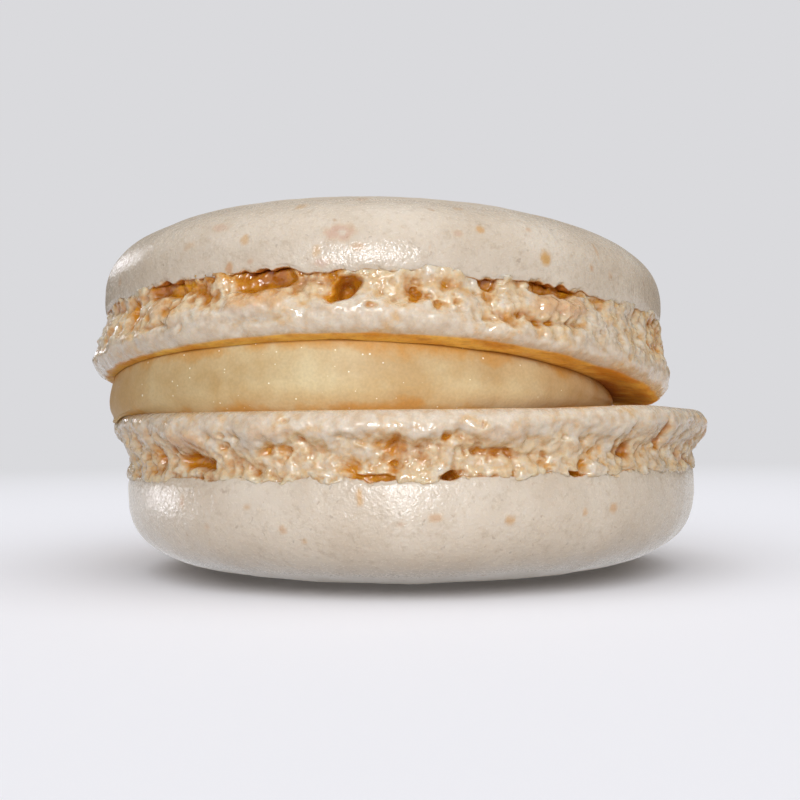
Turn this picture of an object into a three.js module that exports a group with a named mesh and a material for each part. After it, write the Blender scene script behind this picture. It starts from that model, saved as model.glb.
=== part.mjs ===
// A French macaron, in millimetres with +Z up: two almond meringue shells with a disc of buttercream
// between them. Each shell is one solid, a smooth dome that stands on the crumbly foot that rose under
// it in the oven. The lower shell lies dome down, and the upper one sits a little askew, so that it gapes
// towards the front (-Y) and closes towards the right (+X).
//
// The origin is the centre of the small flat spot on which the lower dome rests. Azimuth 0 is the front
// and 90 degrees is the right.
import * as THREE from "three";

// ---------------------------------------------------------------------------------------------------
// Driving dimensions
// ---------------------------------------------------------------------------------------------------

const GAP = 0.3; // kept between the buttercream and each shell
const FOOT_COLUMNS = 168; // points round the foot, whose relief is fine
const SKIN_COLUMNS = 84; // and round the smooth parts

// A shell's height runs from its cream side, at 0, to the top of its dome. Its hollows are the larger
// gaps that bubbles left in the foot: azimuth and half length in degrees, height, half height and depth
// in millimetres.
const LOWER = {
  skinRadius: 21.8,
  wall: 1.0, // the upright part of the skin, above the foot
  domeHeight: 6.6, // from the top of the wall to the middle of the dome
  domeAcross: 5, // the dome's powers across and up: the larger, the squarer its shoulder
  domeUp: 2.8,
  flatRadius: 6, // the spot that it rests on
  footHeight: 4.2,
  borderWave: 0, // the skin's lower border is this much higher at front and back, and lower at the sides
  borderRise: -0.25, // and it climbs this much towards +X
  rimWave: 0.05, // the foot's rim is this much higher at front and back, and lower at the sides
  skirtOut: 1.05, // how far the foot's rim stands out past the skin
  skirtAt: 0.26, // height of the rim's widest ring, as a share of the foot
  skirtRound: 1.0, // width of the rounded edge at the cream
  belly: 0, // swelling of the cream side's middle
  hollows: [
    { azimuth: -40, length: 6.5, height: 3.0, tall: 0.55, depth: 0.9 },
    { azimuth: -5.5, length: 4, height: 3.75, tall: 0.35, depth: 0.7 },
    { azimuth: 5, length: 3, height: 3.6, tall: 0.35, depth: 0.8 },
    { azimuth: 28.5, length: 3, height: 3.85, tall: 0.35, depth: 0.8 },
    { azimuth: 49, length: 2.5, height: 1.7, tall: 0.8, depth: 0.5 },
  ],
  seed: 11,
};

const UPPER = {
  skinRadius: 21.5,
  wall: 1.25,
  domeHeight: 6.05,
  domeAcross: 3.5,
  domeUp: 2.3,
  flatRadius: 0,
  footHeight: 4.45,
  borderWave: 0.4,
  borderRise: 0,
  rimWave: 0.85,
  skirtOut: 0.75,
  skirtAt: 0.36,
  skirtRound: 1.4,
  belly: 0.25,
  hollows: [
    { azimuth: -42, length: 6, height: 4.15, tall: 0.4, depth: 0.7 },
    { azimuth: -25, length: 10, height: 3.9, tall: 0.45, depth: 0.9 },
    { azimuth: -5.5, length: 2.6, height: 3.5, tall: 0.65, depth: 1.4 },
    { azimuth: 19, length: 2.5, height: 4.3, tall: 0.3, depth: 0.7 },
    { azimuth: 32, length: 7, height: 4.35, tall: 0.35, depth: 0.9 },
  ],
  seed: 29,
};

// The hollows come this many times round each foot.
const HOLLOW_RUNS = 3;

// The upper shell's cream side: where its middle is, and how it leans.
const UPPER_AT = new THREE.Vector3(-2.2, -0.2, 14.55);
const UPPER_GAPE = THREE.MathUtils.degToRad(2.3); // front edge up
const UPPER_ROLL = THREE.MathUtils.degToRad(1.7); // right edge down

const FILLING = {
  centre: new THREE.Vector2(-3.5, -1.0),
  radius: 19.15,
  crowning: 0.3, // how far its side bulges between the shells
  footRound: 0.8, // how far its bottom edge is drawn in
  unevenness: 0.25,
  unevenLength: 9,
  seed: 53,
};

// The relief of the foot, which is crumbly under the skin and softly rippled at the rim.
const LUMP_SIZE = 2.0;
const LUMP_HEIGHT = 0.75;
const RIPPLE_LENGTH = 2.0; // along the rim
const RIPPLE_HEIGHT = 0.3;
const GROOVE_DEPTH = 0.3; // the mean of the groove under the skin
const GROOVE_SWING = 0.3; // how much deeper or shallower it gets along the way
const GROOVE_LENGTH = 5;
const BORDER_RAGGED = 0.25; // how far the skin's edge strays up and down
const BORDER_LENGTH = 2.2;
const OUT_OF_ROUND = 0.12;
const DOME_UNEVEN = 0.1;
const DOME_LENGTH = 9;

// Height of the cream side of the lower shell, over the spot that it rests on.
const LOWER_CREAM_Z = LOWER.footHeight + LOWER.wall + LOWER.domeHeight;

// ---------------------------------------------------------------------------------------------------
// Noise
// ---------------------------------------------------------------------------------------------------

// A fixed random number from 0 to 1 for each lattice point.
function hash(i, j, k, seed) {
  let h = Math.imul(i, 0x27d4eb2d) ^ Math.imul(j, 0x165667b1);
  h ^= Math.imul(k, 0x9e3779b1) ^ Math.imul(seed, 0x85ebca6b);
  h = Math.imul(h ^ (h >>> 15), 0x2c1b3c6d);
  h = Math.imul(h ^ (h >>> 12), 0x297a2d39);
  return ((h ^ (h >>> 15)) >>> 0) / 2 ** 32;
}

const smoothstep = (low, high, x) => THREE.MathUtils.smoothstep(x, low, high);

// Value noise, from -1 to 1: each lattice cell blends the random numbers at its eight corners.
function noise(x, y, z, seed) {
  const [i, j, k] = [x, y, z].map(Math.floor);
  const [u, v, w] = [x - i, y - j, z - k].map((t) => smoothstep(0, 1, t));
  let sum = 0;
  for (let corner = 0; corner < 8; corner++) {
    const [a, b, c] = [corner & 1, (corner >> 1) & 1, corner >> 2];
    const weight = (a ? u : 1 - u) * (b ? v : 1 - v) * (c ? w : 1 - w);
    sum += weight * hash(i + a, j + b, k + c, seed);
  }
  return 2 * sum - 1;
}

// Packed lumps, from 0 in the creases to 1 on the tops: one point strays about in each lattice cell, and
// a lump falls off with the square of the distance to the nearest point.
function lumps(x, y, z, seed) {
  const [i, j, k] = [x, y, z].map(Math.floor);
  let nearest = Infinity;
  for (let a = i - 1; a <= i + 1; a++)
    for (let b = j - 1; b <= j + 1; b++)
      for (let c = k - 1; c <= k + 1; c++) {
        const dx = a + hash(a, b, c, seed) - x;
        const dy = b + hash(a, b, c, seed + 1) - y;
        const dz = c + hash(a, b, c, seed + 2) - z;
        nearest = Math.min(nearest, dx * dx + dy * dy + dz * dz);
      }
  return Math.max(0, 1 - nearest);
}

// ---------------------------------------------------------------------------------------------------
// The shell
// ---------------------------------------------------------------------------------------------------

// Radius of the skin at an azimuth: a circle that is a little out of round.
function skinRadius(shell, azimuth) {
  const oval = Math.cos(2 * azimuth + shell.seed);
  const trefoil = Math.cos(3 * azimuth + 2 * shell.seed);
  return shell.skinRadius + OUT_OF_ROUND * (oval + 0.6 * trefoil);
}

// Height of the cream side at an azimuth and a radius: its rim waves up and down, and its middle swells.
function creamSide(shell, azimuth, radius) {
  const share = Math.min(1, radius / shell.skinRadius) ** 2;
  return shell.rimWave * Math.cos(2 * azimuth) * share - shell.belly * (1 - share);
}

// Noise that runs round the shell, with a given length along the rim.
function aroundRim(shell, azimuth, length, seed) {
  const radius = shell.skinRadius / length;
  return noise(radius * Math.sin(azimuth), radius * Math.cos(azimuth), 0.5, shell.seed + seed);
}

// Depth of the hollows at a point of the foot: each is a smooth dent, and the run of them comes round
// HOLLOW_RUNS times.
function hollowDepth(shell, azimuth, height) {
  const run = 360 / HOLLOW_RUNS;
  const degrees = THREE.MathUtils.radToDeg(azimuth) + run / 2;
  const inRun = THREE.MathUtils.euclideanModulo(degrees, run) - run / 2;
  let depth = 0;
  for (const hollow of shell.hollows) {
    const along = (inRun - hollow.azimuth) / hollow.length;
    const up = (height - hollow.height) / hollow.tall;
    depth = Math.max(depth, hollow.depth * Math.exp(-(along ** 4) - up * up));
  }
  return depth;
}

// A point of the foot, where share is 0 at the skin's border and 1 at the cream side. The skirt swells
// outwards on its way down, the groove cuts in under the skin, and lumps and ripples lie on both.
function footPoint(shell, azimuth, share) {
  const wave = shell.borderWave * Math.cos(2 * azimuth) + shell.borderRise * Math.sin(azimuth);
  const ragged = BORDER_RAGGED * aroundRim(shell, azimuth, BORDER_LENGTH, 100);
  const border = shell.footHeight + wave + ragged;
  const rim = creamSide(shell, azimuth, shell.skinRadius);
  const height = THREE.MathUtils.lerp(border, rim, share);

  const skirt = shell.skirtOut * smoothstep(0.1, 1 - shell.skirtAt, share);
  const groove = GROOVE_DEPTH + GROOVE_SWING * aroundRim(shell, azimuth, GROOVE_LENGTH, 200);
  const inGroove = smoothstep(0, 0.06, share) * (1 - smoothstep(0.14, 0.4, share));
  const x = shell.skinRadius * Math.sin(azimuth);
  const y = shell.skinRadius * Math.cos(azimuth);
  const lump = lumps(x / LUMP_SIZE, y / LUMP_SIZE, height / LUMP_SIZE, shell.seed + 300) - 0.7;
  const crumbly = smoothstep(0, 0.08, share) * (1 - 0.7 * smoothstep(0.45, 0.75, share));
  const ripple = aroundRim(shell, azimuth, RIPPLE_LENGTH, 400) * smoothstep(0.3, 0.7, share);
  const relief = LUMP_HEIGHT * lump * crumbly + RIPPLE_HEIGHT * ripple;
  const hollow = hollowDepth(shell, azimuth, height) * smoothstep(0, 0.05, share);
  return [skinRadius(shell, azimuth) + skirt - groove * inGroove - hollow + relief, height];
}

// The rounded edge of the rim, from its widest ring, at turn 0, to the cream side, at turn 90 degrees.
function edgePoint(shell, azimuth, turn) {
  const [radius, height] = footPoint(shell, azimuth, 1 - shell.skirtAt);
  const rim = creamSide(shell, azimuth, shell.skinRadius);
  return [
    radius - shell.skirtRound * (1 - Math.cos(turn)),
    THREE.MathUtils.lerp(height, rim, Math.sin(turn)),
  ];
}

// A point of the skin above its border: the top of the wall at turn 0, and the middle of the dome at 90
// degrees. The dome is a superellipse, (radius / skinRadius) ** domeAcross + (rise / domeHeight) ** domeUp
// = 1, a little uneven away from its middle, and a shell that rests on its dome is level inside its flat
// spot. The border's ups and downs die out up the skin.
function domePoint(shell, azimuth, turn) {
  const across = Math.cos(turn) ** (2 / shell.domeAcross);
  const flat = shell.flatRadius / shell.skinRadius;
  const fade = 0.5 * (Math.max(0, across - flat) / (1 - flat)) ** 3;
  const border = footPoint(shell, azimuth, 0)[1] - shell.footHeight;
  const bulge = (1 - Math.max(across, flat) ** shell.domeAcross) / (1 - flat ** shell.domeAcross);
  const rise = shell.domeHeight * bulge ** (1 / shell.domeUp);
  const radius = skinRadius(shell, azimuth) * across;
  const x = (radius * Math.sin(azimuth)) / DOME_LENGTH;
  const y = (radius * Math.cos(azimuth)) / DOME_LENGTH;
  const offFlat = smoothstep(shell.flatRadius, shell.flatRadius + DOME_LENGTH, radius);
  const uneven = DOME_UNEVEN * noise(x, y, 0.5, shell.seed + 500) * offFlat * (1 - across ** 4);
  return [radius, shell.footHeight + shell.wall + border * fade + rise + uneven];
}

// The rings of a shell, from the middle of its cream side out round the rim, up the foot and the skin,
// and in to the middle of the dome. Each has its number of points, and gives [radius, height] at an
// azimuth.
function shellRings(shell) {
  const { degToRad } = THREE.MathUtils;
  const inCreamSide = (azimuth, share) => {
    const radius = edgePoint(shell, azimuth, Math.PI / 2)[0] * share;
    return [radius, creamSide(shell, azimuth, radius)];
  };
  const rings = [{ columns: 1, at: (azimuth) => inCreamSide(azimuth, 0) }];
  rings.push({ columns: SKIN_COLUMNS, at: (azimuth) => inCreamSide(azimuth, 0.75) });
  for (const turn of [90, 60, 30])
    rings.push({ columns: FOOT_COLUMNS, at: (azimuth) => edgePoint(shell, azimuth, degToRad(turn)) });
  for (const up of [1, 0.85, 0.7, 0.56, 0.43, 0.31, 0.2, 0.11, 0.05, 0]) {
    const share = up * (1 - shell.skirtAt);
    rings.push({ columns: FOOT_COLUMNS, at: (azimuth) => footPoint(shell, azimuth, share) });
  }
  for (const turn of [0, 16, 32, 47, 60, 71, 80])
    rings.push({ columns: SKIN_COLUMNS, at: (azimuth) => domePoint(shell, azimuth, degToRad(turn)) });
  const inner = shell.flatRadius / shell.skinRadius || 0.2; // the flat spot, or a ring near the middle
  const innerTurn = Math.acos(inner ** (shell.domeAcross / 2));
  rings.push({ columns: SKIN_COLUMNS, at: (azimuth) => domePoint(shell, azimuth, innerTurn) });
  rings.push({ columns: 1, at: (azimuth) => domePoint(shell, azimuth, Math.PI / 2) });
  return rings;
}

// ---------------------------------------------------------------------------------------------------
// The filling
// ---------------------------------------------------------------------------------------------------

// Height of the upper shell's cream side above a point.
function undersideOfUpper(x, y) {
  const [dx, dy] = [x - UPPER_AT.x, y - UPPER_AT.y];
  const lean = -Math.tan(UPPER_GAPE) * dy - Math.tan(UPPER_ROLL) * dx;
  return UPPER_AT.z + lean + creamSide(UPPER, Math.atan2(dx, -dy), Math.hypot(dx, dy));
}

// Height of the lower shell's cream side below a point.
function topOfLower(x, y) {
  return LOWER_CREAM_Z - creamSide(LOWER, Math.atan2(x, -y), Math.hypot(x, y));
}

// The rings of the filling, from the middle of its bottom, out and up its side, to the middle of its
// top. rise is 0 at the lower shell and 1 under the upper one. The side bulges between the shells, and
// is drawn in at the bottom.
function fillingRings() {
  const ring = (rise, scale) => {
    const drawnIn = FILLING.footRound * (1 - rise) ** 6;
    const bulge = FILLING.crowning * Math.sin(Math.PI * rise);
    return { columns: SKIN_COLUMNS, rise, scale, out: bulge - drawnIn };
  };
  return [
    { ...ring(0, 0), columns: 1 },
    ring(0, 0.6),
    ...[0, 0.05, 0.15, 0.3, 0.5, 0.7, 0.88, 1].map((rise) => ring(rise, 1)),
    ring(1, 0.6),
    { ...ring(1, 0), columns: 1 },
  ];
}

// A point of a ring of the filling, in the part's frame.
function fillingPoint(azimuth, ring) {
  const length = FILLING.radius / FILLING.unevenLength;
  const side = noise(length * Math.sin(azimuth), length * Math.cos(azimuth), ring.rise, FILLING.seed);
  const radius = ring.scale * (FILLING.radius + FILLING.unevenness * side + ring.out);
  const x = FILLING.centre.x + radius * Math.sin(azimuth);
  const y = FILLING.centre.y - radius * Math.cos(azimuth);
  const low = topOfLower(x, y) + GAP;
  const high = undersideOfUpper(x, y) - GAP;
  return [x, y, THREE.MathUtils.lerp(low, high, ring.rise)];
}

// ---------------------------------------------------------------------------------------------------
// Meshes
// ---------------------------------------------------------------------------------------------------

// A closed surface through rings of points, bottom ring first, where place(azimuth, ring) gives each
// point. The first and last rings are single points, and neighbours may differ in their number of points.
function ringSurface(rings, place) {
  const points = [];
  const faces = [];
  let below = null;
  for (const ring of rings) {
    const first = points.length / 3;
    for (let column = 0; column < ring.columns; column++)
      points.push(...place((2 * Math.PI * column) / ring.columns, ring));
    const above = { first, columns: ring.columns };
    if (below) faces.push(...band(below, above));
    below = above;
  }
  const geometry = new THREE.BufferGeometry();
  geometry.setAttribute("position", new THREE.Float32BufferAttribute(points, 3));
  geometry.setIndex(faces);
  geometry.computeVertexNormals();
  return geometry;
}

// The triangles between two rings. Both are walked in the steps of the finer one, and a step that stays
// on one point of a ring gives one triangle instead of two.
function band(below, above) {
  const steps = Math.max(below.columns, above.columns);
  const pointAt = (ring, step) => {
    return ring.first + (Math.round((step * ring.columns) / steps) % ring.columns);
  };
  const faces = [];
  for (let step = 0; step < steps; step++) {
    const [a, b] = [pointAt(below, step), pointAt(below, step + 1)];
    const [c, d] = [pointAt(above, step), pointAt(above, step + 1)];
    if (a !== b) faces.push(a, b, d);
    if (c !== d) faces.push(a, d, c);
  }
  return faces;
}

// A shell with its dome up, or turned over with its dome down. Turning it over mirrors the heights, and
// the rings are then taken from the dome, so that the faces still point out.
function shellMesh(name, shell, turnedOver, material) {
  const rings = shellRings(shell);
  if (turnedOver) rings.reverse();
  const geometry = ringSurface(rings, (azimuth, ring) => {
    const [radius, height] = ring.at(azimuth);
    const z = turnedOver ? -height : height;
    return [radius * Math.sin(azimuth), -radius * Math.cos(azimuth), z];
  });
  const mesh = new THREE.Mesh(geometry, material);
  mesh.name = name;
  return mesh;
}

const shellStuff = { color: 0xdcd0c0, roughness: 0.45, metalness: 0 };
const buttercream = { color: 0xdabc91, roughness: 0.4, metalness: 0 };

const lowerShell = shellMesh("lower_shell", LOWER, true, new THREE.MeshStandardMaterial(shellStuff));
lowerShell.position.z = LOWER_CREAM_Z;

const upperShell = shellMesh("upper_shell", UPPER, false, new THREE.MeshStandardMaterial(shellStuff));
upperShell.position.copy(UPPER_AT);
upperShell.rotation.set(-UPPER_GAPE, UPPER_ROLL, 0);

const fillingGeometry = ringSurface(fillingRings(), fillingPoint);
const filling = new THREE.Mesh(fillingGeometry, new THREE.MeshStandardMaterial(buttercream));
filling.name = "filling";

const macaron = new THREE.Group();
macaron.add(lowerShell, filling, upperShell);
export default macaron;
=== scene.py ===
"""The looks of a French macaron: two almond meringue shells with buttercream between them.

Lengths are in millimetres until a mesh is made, and +Z is up. Azimuth 0 is the front (-Y), and 90 degrees
is the right (+X). A shell's height runs from its cream side, at 0, to the top of its dome.
"""

import math

import bpy
import numpy as np
from mathutils import Matrix, Vector


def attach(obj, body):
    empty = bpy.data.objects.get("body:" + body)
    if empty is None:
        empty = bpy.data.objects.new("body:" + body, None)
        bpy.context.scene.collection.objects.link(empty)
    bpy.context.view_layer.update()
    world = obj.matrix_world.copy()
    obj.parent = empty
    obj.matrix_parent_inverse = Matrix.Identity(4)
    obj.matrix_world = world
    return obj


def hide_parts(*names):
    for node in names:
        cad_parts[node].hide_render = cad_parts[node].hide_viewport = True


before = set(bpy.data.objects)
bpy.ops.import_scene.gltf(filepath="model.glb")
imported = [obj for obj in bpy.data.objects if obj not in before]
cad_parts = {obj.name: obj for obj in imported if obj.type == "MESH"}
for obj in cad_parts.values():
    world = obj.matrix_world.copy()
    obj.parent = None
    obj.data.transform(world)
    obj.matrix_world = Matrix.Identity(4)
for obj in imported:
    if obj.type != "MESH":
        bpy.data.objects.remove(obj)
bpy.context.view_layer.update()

# ------------------------------------------------------------------------------------------------------
# The foot of the lower shell
#
# The crumb that swelled out from under the skin while the shell baked. Next to the skin it tore open into
# lumps, broken bubbles and deep gaps, caramel coloured inside, a colour that is partly its own and partly
# painted shade that deepens with depth. At the cream side it set as a paler, rounder skirt with soft upright
# ripples, and its flat underside, which lay on the baking mat, browned.
# ------------------------------------------------------------------------------------------------------

MM = 0.001  # in the metres of the scene
FOOT_COLUMNS = 1200
RIM_ROWS, SIDE_ROWS = 18, 53

# A hollow is a larger gap in the crumb: azimuth and half length in degrees, then height, half height and
# depth, and how far it leans, in mm of height per mm along. A pit is a burst bubble: azimuth, height and
# radius. A bend of the rim is an azimuth, a half width in degrees, and how far the rim moves away from the
# other shell, which is negative towards it. Shares of the side run from 0 at the skin's edge to 1 at the
# cream side. crumb_reach is the share that the torn crumb reaches down to, toasted is how much browner it
# is, and browned_from is the share of the rounded rim where the browned cream side starts, each as azimuths
# and values. These three, the hollows and the pits come HOLLOW_RUNS times round the foot.
LOWER = {
    "skin_radius": 21.8,
    "wall": 1.0,  # height of the upright skin between the foot and the dome
    "dome_height": 6.6,
    "dome_across": 5.0,  # the dome's power across, and then its power upwards
    "dome_up": 2.8,
    "flat_radius": 6.0,
    "foot_height": 4.2,
    "border_wave": 0.0,  # how far the skin's edge goes up and down, twice round
    "border_rise": -0.25,  # and how much nearer to the dome it lies at the right
    "rim_wave": 0.05,  # how far the cream side's rim goes up and down, twice round
    "rim_bends": [(42, 12, -0.20)],
    "skirt_out": 1.05,  # how far the foot stands out past the skin
    "skirt_at": 0.26,  # the share of the side that rounds off to the cream side
    "skirt_round": 1.0,  # how far it draws in there
    "belly": 0.0,  # how far the middle of the cream side swells
    "groove_at": 0.34,  # the share of the side where a groove runs round, and its half width
    "groove_wide": 0.20,
    "browned_from": ([-60, 60], [0.985, 0.985]),
    "mat_side": 0.70,  # how brown the cream side is
    "hollows": [
        (-40, 5.0, 3.20, 0.50, 0.75, 0.10),
        (-22, 5.0, 2.45, 0.35, 0.3, -0.10),
        (-6.5, 2.8, 4.02, 0.13, 0.6, 0.03),
        (4.8, 1.3, 3.95, 0.16, 1.0, -0.25),
        (14, 6.0, 2.70, 0.35, 0.3, 0.10),
        (28.5, 1.4, 4.02, 0.14, 1.0, 0.0),
        (49, 1.4, 1.7, 0.9, 0.5, 1.4),
    ],
    "pits": [
        (-32, 1.4, 0.26),
        (-20, 0.55, 0.30),
        (-2, 1.65, 0.36),
        (5, 1.8, 0.34),
        (-46, 2.2, 0.35),
        (-18, 1.9, 0.28),
        (11, 0.9, 0.18),
    ],
    "crumb_reach": ([-60, -48, -30, -8, 10, 30, 50, 60], [0.70, 0.60, 0.55, 0.65, 0.60, 0.55, 0.62, 0.70]),
    "toasted": ([-60, -40, 0, 30, 60], [0.02, 0.07, 0.02, -0.04, 0.02]),
    "seed": 11,
}
HOLLOW_RUNS = 3
REACHES = 0.1  # a hollow whose top comes this near to the skin's edge is open up to it
UNDER_SKIN, GOES_IN = -0.14, 0.5  # the share of the side where it ends under the skin, and how far in it is
STANDS_OVER = 0.12  # how far the crumb stands out where it rises over the skin's edge
OUT_OF_ROUND = 0.12
BORDER_LENGTH, BORDER_RAGGED = 2.2, 0.25
ARCH, SMALL_ARCH = 1.1, 0.5  # widths of the arches that the skin's edge broke off in
ARCH_LEVEL = 0.75  # of an arch's height, where the edge would lie without it
LIP_HEIGHT, LIP_OUT = 0.70, 0.60
CREASE_BELOW, CREASE_HEIGHT = 1.7 * LIP_HEIGHT, 0.16
PIT_DEPTH = 0.35
GROOVE_LENGTH, GROOVE_DEPTH, GROOVE_SWING = 5.0, 0.24, 0.45
SWELL_SIZE, SWELL_HEIGHT = 2.0, 0.4875  # the slow lumps of the whole side
RIPPLE_LENGTH, RIPPLE_HEIGHT = 2.0, 0.18
BIG, MIDDLE, SMALL = 1.4, 0.70, 0.34  # sizes of the lumps of crumb
BIG_LEVEL, LUMP_LEVEL = 0.84, 0.88  # of a lump's height, about which it stands out and sinks in
CREASES_FROM = 0.92  # of a lump's height, under which its colour deepens, as painted shade in the creases
BUBBLE, SMALL_BUBBLE = 1.25, 0.7
# Painted shade: the cream side is painted a deeper brown under and just round the cream's edge, in the corner
# between them.
SHADE_RADIUS, CORNER_SHADE = 19.2, 0.85  # inside this radius the cream side is a deeper brown, and by how much
# These noises are pairs of how far they go and over what length, both in mm.
STRAY = [(0.6, 1.3), (0.3, 0.5)]  # how far sideways the outlines of the hollows wander
CLIMB = [(0.22, 1.2), (0.12, 0.45)]  # and how far up and down
DRIFT, CLOSE_DRIFT = [(0.20, 1.1)], [(0.12, 0.4)]  # how far the lumps, and then the bubbles, are shifted
GRIT = [(0.02, 0.17)]
SOFT_SWELLS = [(0.11, 1.2), (0.05, 0.5)]  # of the skirt
CREAM_SIDE_Z = LOWER["foot_height"] + LOWER["wall"] + LOWER["dome_height"]


def hash01(i, j, k, seed):
    """A fixed random number from 0 to 1 for each lattice point, mixed from its three whole numbers."""
    i, j, k = (np.asarray(n, np.int64).astype(np.uint32) for n in (i, j, k))
    mixed_seed = np.uint32(seed * 0x85EBCA6B & 0xFFFFFFFF)
    h = i * np.uint32(0x27D4EB2D) ^ j * np.uint32(0x165667B1) ^ k * np.uint32(0x9E3779B1) ^ mixed_seed
    h = (h ^ (h >> np.uint32(15))) * np.uint32(0x2C1B3C6D)
    h = (h ^ (h >> np.uint32(12))) * np.uint32(0x297A2D39)
    return (h ^ (h >> np.uint32(15))) / 2.0**32


def smoothstep(low, high, x):
    """0 up to low and 1 from high on, with an S curve between them."""
    t = np.clip((x - low) / (high - low), 0, 1)
    return t * t * (3 - 2 * t)


def noise(x, y, z, seed):
    """Value noise, from -1 to 1: each lattice cell blends the random numbers at its eight corners."""
    x, y, z = np.broadcast_arrays(x, y, z)
    i, j, k = np.floor(x), np.floor(y), np.floor(z)
    u, v, w = smoothstep(0, 1, x - i), smoothstep(0, 1, y - j), smoothstep(0, 1, z - k)
    total = np.zeros(x.shape)
    for a, b, c in np.ndindex(2, 2, 2):
        weight = (u if a else 1 - u) * (v if b else 1 - v) * (w if c else 1 - w)
        total += weight * hash01(i + a, j + b, k + c, seed)
    return 2 * total - 1


def swings(point, pairs, seed):
    """Noises added up, each as far and as long as its pair says, at a point given as x, y and z."""
    return sum(far * noise(*(c / length for c in point), seed + n) for n, (far, length) in enumerate(pairs))


def cells_around(x, y, z, seed):
    """The 27 lattice cells around a point, one by one, and for each the square of the distance from the
    point to the cell's own centre, which strays about in the cell."""
    i, j, k = np.floor(x), np.floor(y), np.floor(z)
    for a, b, c in np.ndindex(3, 3, 3):
        cell = (i + a - 1, j + b - 1, k + c - 1)
        dx = cell[0] + hash01(*cell, seed) - x
        dy = cell[1] + hash01(*cell, seed + 1) - y
        dz = cell[2] + hash01(*cell, seed + 2) - z
        yield cell, dx * dx + dy * dy + dz * dz


def lumps(x, y, z, seed, rounding=0):
    """Packed lumps, from 0 in the creases to 1 on the tops: a lump falls off with the square of the distance
    to the nearest cell's centre. With a rounding the creases are filled: the lumps' powers of one over it
    are added, and the sum is taken to the power rounding."""
    x, y, z = np.broadcast_arrays(x, y, z)
    highest = np.zeros(x.shape)
    for _, squared in cells_around(x, y, z, seed):
        lump = np.maximum(0, 1 - squared)
        highest = highest + lump ** (1 / rounding) if rounding else np.maximum(highest, lump)
    return np.minimum(1, highest**rounding) if rounding else highest


def leaned(x, y, z):
    """The same point in a lattice that leans, so that the noise's own rows don't stand upright."""
    return 0.36 * x + 0.48 * y - 0.80 * z, 0.60 * y - 0.80 * x + 0.07 * z, 0.48 * x + 0.64 * y + 0.60 * z


def bubbles(x, y, z, size, seed):
    """Depth of burst bubbles: each lattice cell of that size holds a ball of its own radius, mostly small,
    and a point inside a ball lies as deep as the ball's half chord there."""
    x, y, z = np.broadcast_arrays(x / size, y / size, z / size)
    depth = np.zeros(x.shape)
    for cell, squared in cells_around(x, y, z, seed):
        radius = 0.12 + 0.40 * hash01(*cell, seed + 3) ** 2
        depth = np.maximum(depth, np.sqrt(np.maximum(0, radius**2 - squared)))
    return size * depth


def skin_radius(shell, azimuth):
    """Radius of the skin: a circle that is a little oval and a little three-cornered."""
    oval = np.cos(2 * azimuth + shell["seed"])
    trefoil = np.cos(3 * azimuth + 2 * shell["seed"])
    return shell["skin_radius"] + OUT_OF_ROUND * (oval + 0.6 * trefoil)


def cream_side(shell, azimuth, radius):
    """Height of the cream side: its rim waves up and down twice round, and bends over towards the other
    shell here and there, and its middle swells."""
    share = np.minimum(1, radius / shell["skin_radius"]) ** 2
    rim = shell["rim_wave"] * np.cos(2 * azimuth)
    for place, half_width, rise in shell["rim_bends"]:
        beside = np.mod(np.degrees(azimuth) - place + 180, 360) - 180
        rim = rim + rise * np.exp(-((beside / half_width) ** 2))
    return rim * share - shell["belly"] * (1 - share)


def around_rim(shell, azimuth, length, seed):
    """Noise that runs round the shell, with a given length along the rim."""
    radius = shell["skin_radius"] / length
    return noise(radius * np.sin(azimuth), radius * np.cos(azimuth), 0.5, shell["seed"] + seed)


def degrees_in_run(azimuth):
    """The azimuth in degrees, counted from the middle of its run of hollows."""
    run = 360 / HOLLOW_RUNS
    return np.mod(np.degrees(azimuth) + run / 2, run) - run / 2


def over_hollows(shell, azimuth):
    """How far the skin's edge lies over a hollow that reaches it, from 0 to 1, and less over a narrow one."""
    over = np.zeros(np.shape(azimuth))
    for place, length, up, tall, _, _ in shell["hollows"]:
        if up + tall > shell["foot_height"] - REACHES:
            beside = (degrees_in_run(azimuth) - place) / length
            over = np.maximum(over, min(1, length / 4) * np.exp(-(beside**4)))
    return over


def border_swing(shell, azimuth):
    """How far the skin's edge goes up and down round the shell: a slow wave, a slope and noise."""
    swing = shell["border_wave"] * np.cos(2 * azimuth) + shell["border_rise"] * np.sin(azimuth)
    return swing + BORDER_RAGGED * around_rim(shell, azimuth, BORDER_LENGTH, 100)


def border_height(shell, azimuth):
    """Height of the skin's edge: its swing, broken off in arches of two sizes with teeth between them,
    which are deeper over the hollows, and frayed by close noise."""
    over = over_hollows(shell, azimuth)
    x, y = shell["skin_radius"] * np.sin(azimuth), shell["skin_radius"] * np.cos(azimuth)
    arches = lumps(x / ARCH, y / ARCH, 0.5, shell["seed"] + 110) - ARCH_LEVEL
    small_arches = lumps(x / SMALL_ARCH, y / SMALL_ARCH, 0.5, shell["seed"] + 120) - ARCH_LEVEL
    uneven = 0.6 + 0.6 * around_rim(shell, azimuth, 3.0, 140) * (1 - over)
    broken = uneven * ((0.30 + 0.60 * over) * arches + (0.16 + 0.16 * over) * small_arches)
    frayed = 0.20 * over + (0.16 + 0.12 * over) * around_rim(shell, azimuth, 0.8, 130)
    return shell["foot_height"] + border_swing(shell, azimuth) + broken + frayed


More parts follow.
